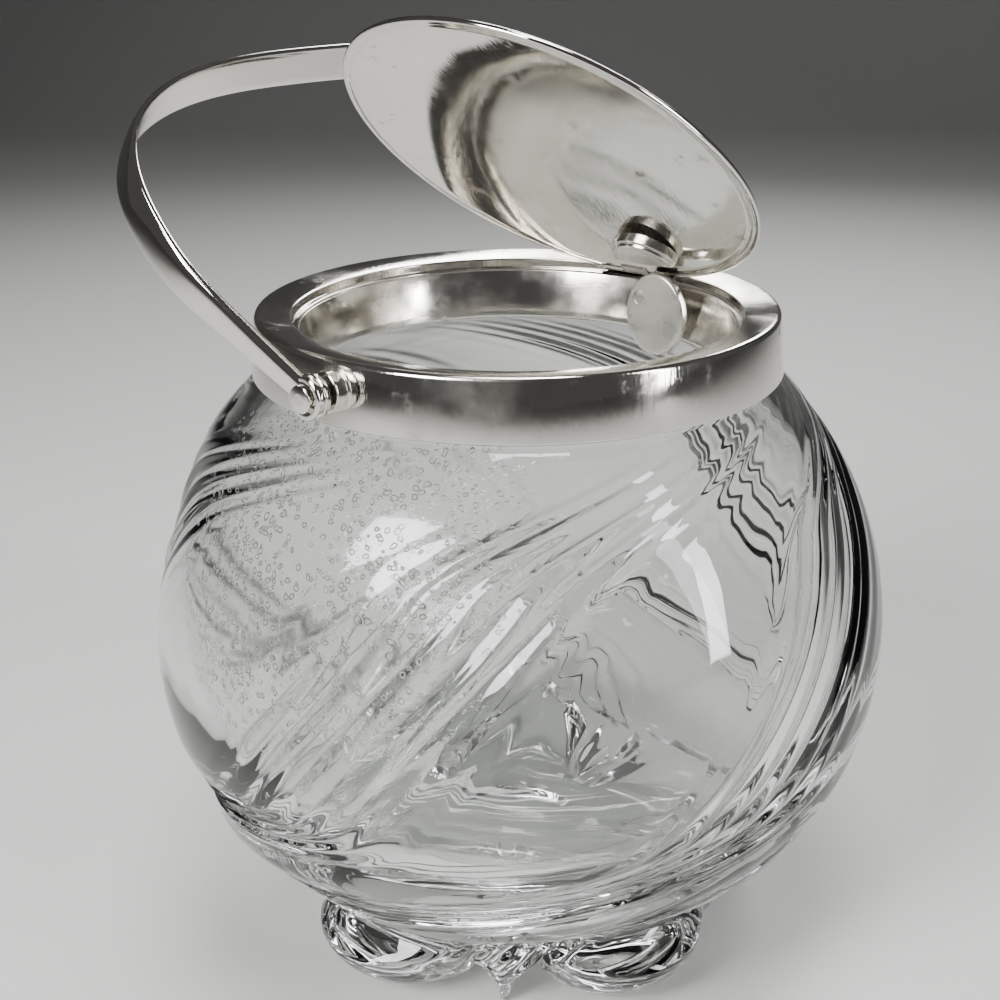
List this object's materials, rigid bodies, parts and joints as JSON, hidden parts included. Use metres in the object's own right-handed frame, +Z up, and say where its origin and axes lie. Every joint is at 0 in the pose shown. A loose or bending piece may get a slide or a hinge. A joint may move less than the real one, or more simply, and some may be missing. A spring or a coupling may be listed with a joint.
{
  "type": "sugar bowl",
  "caption": "Globular clear glass sugar bowl on a lobed foot, with a plain silver collar, a hinged self-opening lid and a swing handle.",
  "frame": {"origin": "centre of the base on the plane the feet stand on", "axes": "+Z up, +Y towards the lid hinge and the spindle side, -X the side the handle lies back to"},
  "size_m": [0.12, 0.12, 0.1519],
  "materials": {
    "glass": "thick blown clear glass, fire polished",
    "cement": "plaster bedding between glass and collar",
    "silver": "polished silver with fine wear scratches",
    "silver_liner": "bright silver, lightly brushed round the tube",
    "silver_boss": "polished silver, a little tarnish in the corners",
    "tarnished_silver": "dark tarnished silver",
    "silver_pin": "turned silver, riveted ends",
    "silver_hinge": "silver, worn and spotted with tarnish",
    "silver_handle": "polished silver with long fine scratches",
    "silver_disc": "silver, dulled by handling",
    "silver_lid": "mirror polished silver"
  },
  "bodies": {
    "bowl": {"glass_bowl": "glass", "cement_ring": "cement", "collar_band": "silver", "collar_rim": "silver", "throat_liner": "silver_liner", "front_boss": "silver_boss", "rear_boss": "silver_boss", "front_washer": "tarnished_silver", "front_pin": "silver_pin", "spindle_bush": "tarnished_silver", "hinge_bracket": "silver_hinge", "hinge_pin": "silver_pin"},
    "swing_handle": {"handle": "silver_handle", "spindle": "silver_pin", "eccentric_disc": "silver_disc"},
    "cover": {"lid": "silver_lid", "lid_edge": "silver_lid", "lid_knuckle": "silver_hinge", "lid_lug": "silver_hinge"}
  },
  "joints": [
    {"name": "handle_swing", "type": "hinge", "parent": "bowl", "child": "swing_handle", "pos_m": [0.00238, 0, 0.1037], "axis": [0.0544, 0.9985, 0], "range_deg": [0, 52]},
    {"name": "lid_hinge", "type": "hinge", "parent": "bowl", "child": "cover", "pos_m": [0, 0.0346, 0.107], "axis": [1, 0, 0], "range_deg": [0, 40.3]}
  ],
  "couplings": [
    {"joint": "lid_hinge", "follows": "handle_swing", "ratio": 0.7745}
  ]
}
